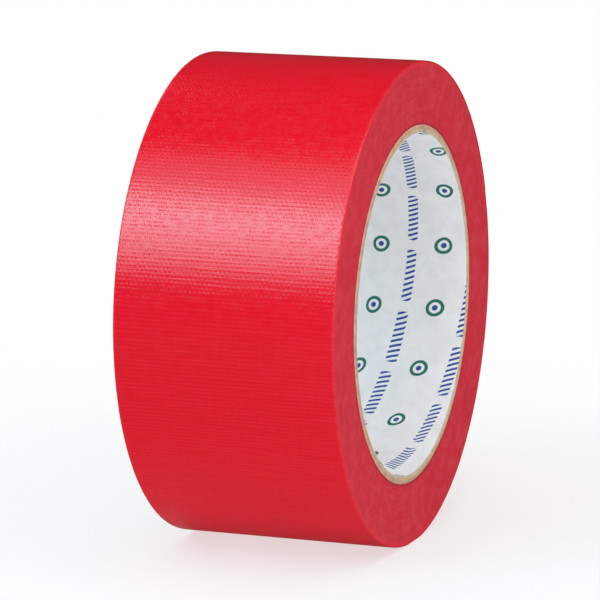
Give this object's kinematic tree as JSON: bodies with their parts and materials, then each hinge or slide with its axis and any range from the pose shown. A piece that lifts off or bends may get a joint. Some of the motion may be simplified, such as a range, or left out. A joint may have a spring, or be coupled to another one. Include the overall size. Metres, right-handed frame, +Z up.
{
  "type": "duct tape roll",
  "caption": "Roll of red cloth-backed repair tape wound on a paper core, with a lead end that peels back from the outer turn.",
  "frame": {"origin": "middle of the core's bore", "axes": "+Y along the roll's axis, +Z up with the roll standing on its rim, +X towards the side where the lead end lies"},
  "size_m": [0.1081, 0.05, 0.1081],
  "materials": {
    "core_liner": "smooth printed white paper",
    "core_kraft": "kraft board, cut edge",
    "wound_tape": "slit edges of wound cloth tape",
    "film": "semi-gloss film embossed by the cloth weave",
    "cloth": "open cotton scrim",
    "adhesive": "tacky rubber adhesive"
  },
  "bodies": {
    "roll": {"core_liner": "core_liner", "core_ply_1": "core_kraft", "core_ply_2": "core_kraft", "core_ply_3": "core_kraft", "core_ply_4": "core_kraft", "wound_tape": "wound_tape", "outer_turn_film": "film", "outer_turn_cloth": "cloth", "outer_turn_adhesive": "adhesive"},
    "lead_end_1": {"lead_end_1_film": "film", "lead_end_1_cloth": "cloth", "lead_end_1_adhesive": "adhesive"},
    "lead_end_2": {"lead_end_2_film": "film", "lead_end_2_cloth": "cloth", "lead_end_2_adhesive": "adhesive"},
    "lead_end_3": {"lead_end_3_film": "film", "lead_end_3_cloth": "cloth", "lead_end_3_adhesive": "adhesive"},
    "lead_end_4": {"lead_end_4_film": "film", "lead_end_4_cloth": "cloth", "lead_end_4_adhesive": "adhesive"}
  },
  "joints": [
    {"name": "lead_end_peel", "type": "hinge", "parent": "roll", "child": "lead_end_1", "pos_m": [0.02523, 0, 0.04799], "axis": [0, -1, 0], "range_deg": [0, 75]},
    {"name": "lead_end_curl_2", "type": "hinge", "parent": "lead_end_1", "child": "lead_end_2", "pos_m": [0.03361, 0, 0.04255], "axis": [0, -1, 0], "range_deg": [0, 25]},
    {"name": "lead_end_curl_3", "type": "hinge", "parent": "lead_end_2", "child": "lead_end_3", "pos_m": [0.04085, 0, 0.03567], "axis": [0, -1, 0], "range_deg": [0, 25]},
    {"name": "lead_end_curl_4", "type": "hinge", "parent": "lead_end_3", "child": "lead_end_4", "pos_m": [0.04671, 0, 0.02757], "axis": [0, -1, 0], "range_deg": [0, 25]}
  ],
  "couplings": [
    {"joint": "lead_end_curl_2", "follows": "lead_end_peel", "ratio": 0.33333},
    {"joint": "lead_end_curl_3", "follows": "lead_end_peel", "ratio": 0.33333},
    {"joint": "lead_end_curl_4", "follows": "lead_end_peel", "ratio": 0.33333}
  ]
}
